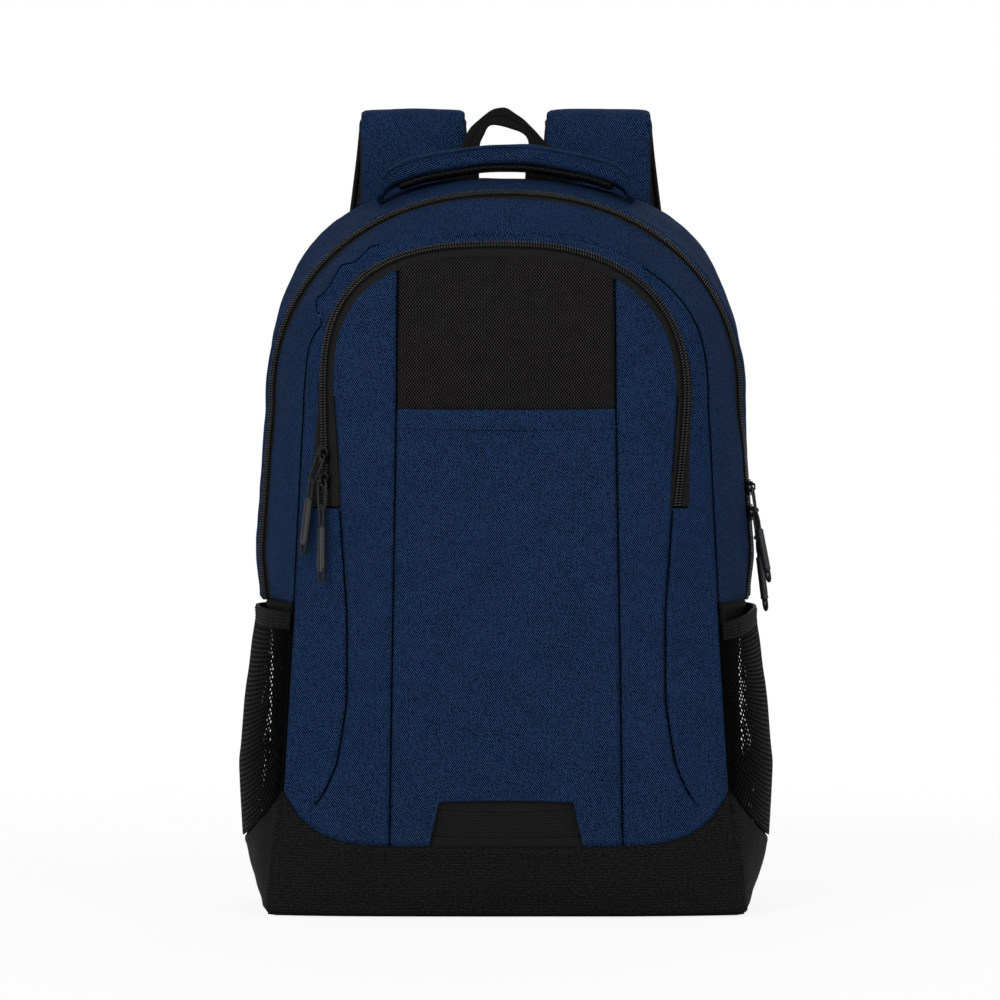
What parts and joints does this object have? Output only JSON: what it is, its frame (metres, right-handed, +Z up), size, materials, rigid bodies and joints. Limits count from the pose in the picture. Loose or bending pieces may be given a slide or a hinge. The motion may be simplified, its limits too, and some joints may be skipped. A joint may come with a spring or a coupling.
{
  "type": "school backpack",
  "caption": "Two-compartment school backpack with zipped front, slip pocket, mesh side pockets, padded back, grab handle and adjustable shoulder straps",
  "frame": {"origin": "middle of the underside of the base, on the surface it stands on", "axes": "+Z up along the bag's height, -Y the front with the pockets, +X to the right seen from the front"},
  "size_m": [0.3444, 0.2711, 0.5211],
  "materials": {
    "navy_fabric": "heathered navy polyester twill",
    "black_fabric": "black ribbed polyester",
    "black_weave": "coarse black basket weave",
    "black_mesh": "black open honeycomb mesh",
    "black_webbing": "black ribbed webbing",
    "grey_lining": "plain grey lining",
    "zip_black": "black woven tape with a nylon coil",
    "black_metal": "glossy black die-cast and wire",
    "black_rubber": "black cord with a matt moulded grip",
    "black_plastic": "satin black moulded plastic",
    "board": "grey stiffening board"
  },
  "bodies": {
    "bag": {"back_panel": "black_fabric", "back_pads": "black_mesh", "lumbar_pad": "black_mesh", "strap_yoke": "navy_fabric", "rear_gusset": "navy_fabric", "front_gusset_lower": "navy_fabric", "side_wall_left": "black_fabric", "side_wall_right": "black_fabric", "slip_pocket": "navy_fabric", "slip_pocket_back": "black_weave", "front_panel_left": "navy_fabric", "front_panel_right": "navy_fabric", "front_side_panels": "navy_fabric", "base": "black_fabric", "base_board": "board", "lash_strap": "black_webbing", "mesh_pocket_left": "black_mesh", "mesh_pocket_right": "black_mesh", "pocket_elastics": "black_webbing", "pocket_divider_lower": "grey_lining", "laptop_sleeve": "grey_lining", "strap_bases": "navy_fabric", "strap_anchors": "black_webbing", "main_zip_rear": "zip_black", "main_zip_front_lower": "zip_black", "pocket_zip_lower": "zip_black"},
    "main_front": {"front_gusset": "navy_fabric", "pocket_surround": "navy_fabric", "pocket_divider": "grey_lining", "main_zip_front": "zip_black", "pocket_zip_outer": "zip_black"},
    "pocket_flap": {"weave_panel": "black_weave", "flap_side_left": "navy_fabric", "flap_side_right": "navy_fabric", "pocket_zip_inner": "zip_black"},
    "grab_handle": {"handle_pad": "navy_fabric", "handle_mesh": "black_mesh"},
    "loop": {"hang_loop": "black_webbing"},
    "strap_left": {"strap_pad_left": "navy_fabric", "strap_mesh_left": "black_mesh", "strap_webbing_left": "black_webbing"},
    "strap_right": {"strap_pad_right": "navy_fabric", "strap_mesh_right": "black_mesh", "strap_webbing_right": "black_webbing"},
    "lock_left": {"ladder_lock_left": "black_plastic"},
    "lock_right": {"ladder_lock_right": "black_plastic"},
    "main_slider_upper": {"main_slider_upper": "black_metal"},
    "main_puller_upper": {"main_puller_upper": "black_metal"},
    "main_cord_upper": {"main_cord_upper": "black_rubber"},
    "main_slider_lower": {"main_slider_lower": "black_metal"},
    "main_puller_lower": {"main_puller_lower": "black_metal"},
    "main_cord_lower": {"main_cord_lower": "black_rubber"},
    "pocket_slider_upper": {"pocket_slider_upper": "black_metal"},
    "pocket_puller_upper": {"pocket_puller_upper": "black_metal"},
    "pocket_cord_upper": {"pocket_cord_upper": "black_rubber"},
    "pocket_slider_lower": {"pocket_slider_lower": "black_metal"},
    "pocket_puller_lower": {"pocket_puller_lower": "black_metal"},
    "pocket_cord_lower": {"pocket_cord_lower": "black_rubber"}
  },
  "joints": [
    {"name": "main_front_fold", "type": "hinge", "parent": "bag", "child": "main_front", "pos_m": [0, -0.0873, 0.325], "axis": [-1, 0, 0], "range_deg": [-25, 0]},
    {"name": "pocket_flap_fold", "type": "hinge", "parent": "main_front", "child": "pocket_flap", "pos_m": [0, -0.0873, 0.325], "axis": [1, 0, 0], "range_deg": [0, 25]},
    {"name": "handle_tilt", "type": "hinge", "parent": "bag", "child": "grab_handle", "pos_m": [0, 0.04, 0.461], "axis": [1, 0, 0], "range_deg": [-20, 20], "stiffness_Nm_per_rad": 0.25},
    {"name": "loop_tilt", "type": "hinge", "parent": "bag", "child": "loop", "pos_m": [0, 0.079, 0.4696], "axis": [1, 0, 0], "range_deg": [0, 25], "stiffness_Nm_per_rad": 0.02},
    {"name": "strap_right_swing", "type": "hinge", "parent": "bag", "child": "strap_right", "pos_m": [0.061, 0.0988, 0.496], "axis": [0.1644, -0.0189, -0.9862], "range_deg": [-10, 30], "stiffness_Nm_per_rad": 0.4},
    {"name": "strap_left_swing", "type": "hinge", "parent": "bag", "child": "strap_left", "pos_m": [-0.061, 0.0988, 0.496], "axis": [0.1644, 0.0189, 0.9862], "range_deg": [-10, 30], "stiffness_Nm_per_rad": 0.4},
    {"name": "lock_right_tilt", "type": "hinge", "parent": "strap_right", "child": "lock_right", "pos_m": [0.107, 0.1473, 0.218], "axis": [-0.9877, -0.0542, -0.1467], "range_deg": [-20, 0]},
    {"name": "lock_left_tilt", "type": "hinge", "parent": "strap_left", "child": "lock_left", "pos_m": [-0.107, 0.1473, 0.218], "axis": [-0.9877, 0.0542, 0.1467], "range_deg": [-20, 0]},
    {"name": "main_slider_upper_run", "type": "slide", "parent": "bag", "child": "main_slider_upper", "axis": [-0.0705, 0, 0.9975], "range_m": [0, 0.045]},
    {"name": "main_puller_upper_swing", "type": "hinge", "parent": "main_slider_upper", "child": "main_puller_upper", "pos_m": [0.1581, 0.00283, 0.26829], "axis": [0.2804, 0.878, -0.3879], "range_deg": [-120, 0]},
    {"name": "main_cord_upper_swing", "type": "hinge", "parent": "main_puller_upper", "child": "main_cord_upper", "pos_m": [0.15996, -0.0049, 0.25214], "axis": [0.2804, 0.878, -0.3879], "range_deg": [-45, 0]},
    {"name": "main_slider_lower_run", "type": "slide", "parent": "bag", "child": "main_slider_lower", "axis": [-0.0705, 0, 0.9975], "range_m": [-0.018, 0]},
    {"name": "main_puller_lower_swing", "type": "hinge", "parent": "main_slider_lower", "child": "main_puller_lower", "pos_m": [0.15924, 0.00283, 0.25229], "axis": [0.2756, 0.9611, 0.0195], "range_deg": [-90, 0]},
    {"name": "main_cord_lower_swing", "type": "hinge", "parent": "main_puller_lower", "child": "main_cord_lower", "pos_m": [0.16141, 0.00257, 0.23442], "axis": [0.2756, 0.9611, 0.0195], "range_deg": [-45, 0]},
    {"name": "pocket_slider_upper_run", "type": "slide", "parent": "bag", "child": "pocket_slider_upper", "axis": [-0.0288, 0.0946, 0.9951], "range_m": [0, 0.03]},
    {"name": "pocket_puller_upper_swing", "type": "hinge", "parent": "pocket_slider_upper", "child": "pocket_puller_upper", "pos_m": [-0.11525, -0.07329, 0.28827], "axis": [0.7757, -0.5346, -0.3355], "range_deg": [-120, 0]},
    {"name": "pocket_cord_upper_swing", "type": "hinge", "parent": "pocket_puller_upper", "child": "pocket_cord_upper", "pos_m": [-0.12141, -0.07166, 0.27143], "axis": [0.7757, -0.5346, -0.3355], "range_deg": [-45, 0]},
    {"name": "pocket_slider_lower_run", "type": "slide", "parent": "bag", "child": "pocket_slider_lower", "axis": [-0.0288, 0.0946, 0.9951], "range_m": [-0.008, 0]},
    {"name": "pocket_puller_lower_swing", "type": "hinge", "parent": "pocket_slider_lower", "child": "pocket_puller_lower", "pos_m": [-0.11479, -0.07481, 0.27227], "axis": [0.8363, -0.5431, 0.0759], "range_deg": [-90, 0]},
    {"name": "pocket_cord_lower_swing", "type": "hinge", "parent": "pocket_puller_lower", "child": "pocket_cord_lower", "pos_m": [-0.11479, -0.07729, 0.25444], "axis": [0.8363, -0.5431, 0.0759], "range_deg": [-45, 0]}
  ]
}
